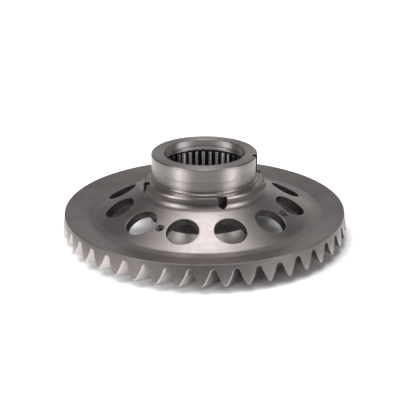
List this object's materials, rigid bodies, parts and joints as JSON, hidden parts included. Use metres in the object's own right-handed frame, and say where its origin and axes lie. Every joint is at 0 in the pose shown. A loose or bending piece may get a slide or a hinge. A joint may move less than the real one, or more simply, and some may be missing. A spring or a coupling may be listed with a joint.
{
  "type": "bevel crown wheel",
  "caption": "Spiral bevel crown wheel with a dished, pierced web on a ground hub with an internal spline, for a differential or final drive.",
  "frame": {"origin": "centre of the hub's lower end face, which the part stands on", "axes": "+Z along the wheel's axis, from the toothed side towards the taller journal; the toothed side faces down"},
  "size_m": [0.2991, 0.2992, 0.0886],
  "materials": {
    "wheel_steel": "satin, machined and lapped",
    "ground_steel": "fine ground, bright",
    "spline_steel": "broached, oiled",
    "spring_steel": "drawn wire",
    "insert_steel": "dark, threaded"
  },
  "bodies": {
    "root": {"crown_wheel": "wheel_steel", "hub_sleeve": "ground_steel", "spline_bush": "spline_steel", "abutment_ring": "ground_steel", "bore_snap_ring": "spring_steel", "jacking_insert_1": "insert_steel", "jacking_insert_2": "insert_steel", "jacking_insert_3": "insert_steel", "jacking_insert_4": "insert_steel"}
  },
  "joints": []
}
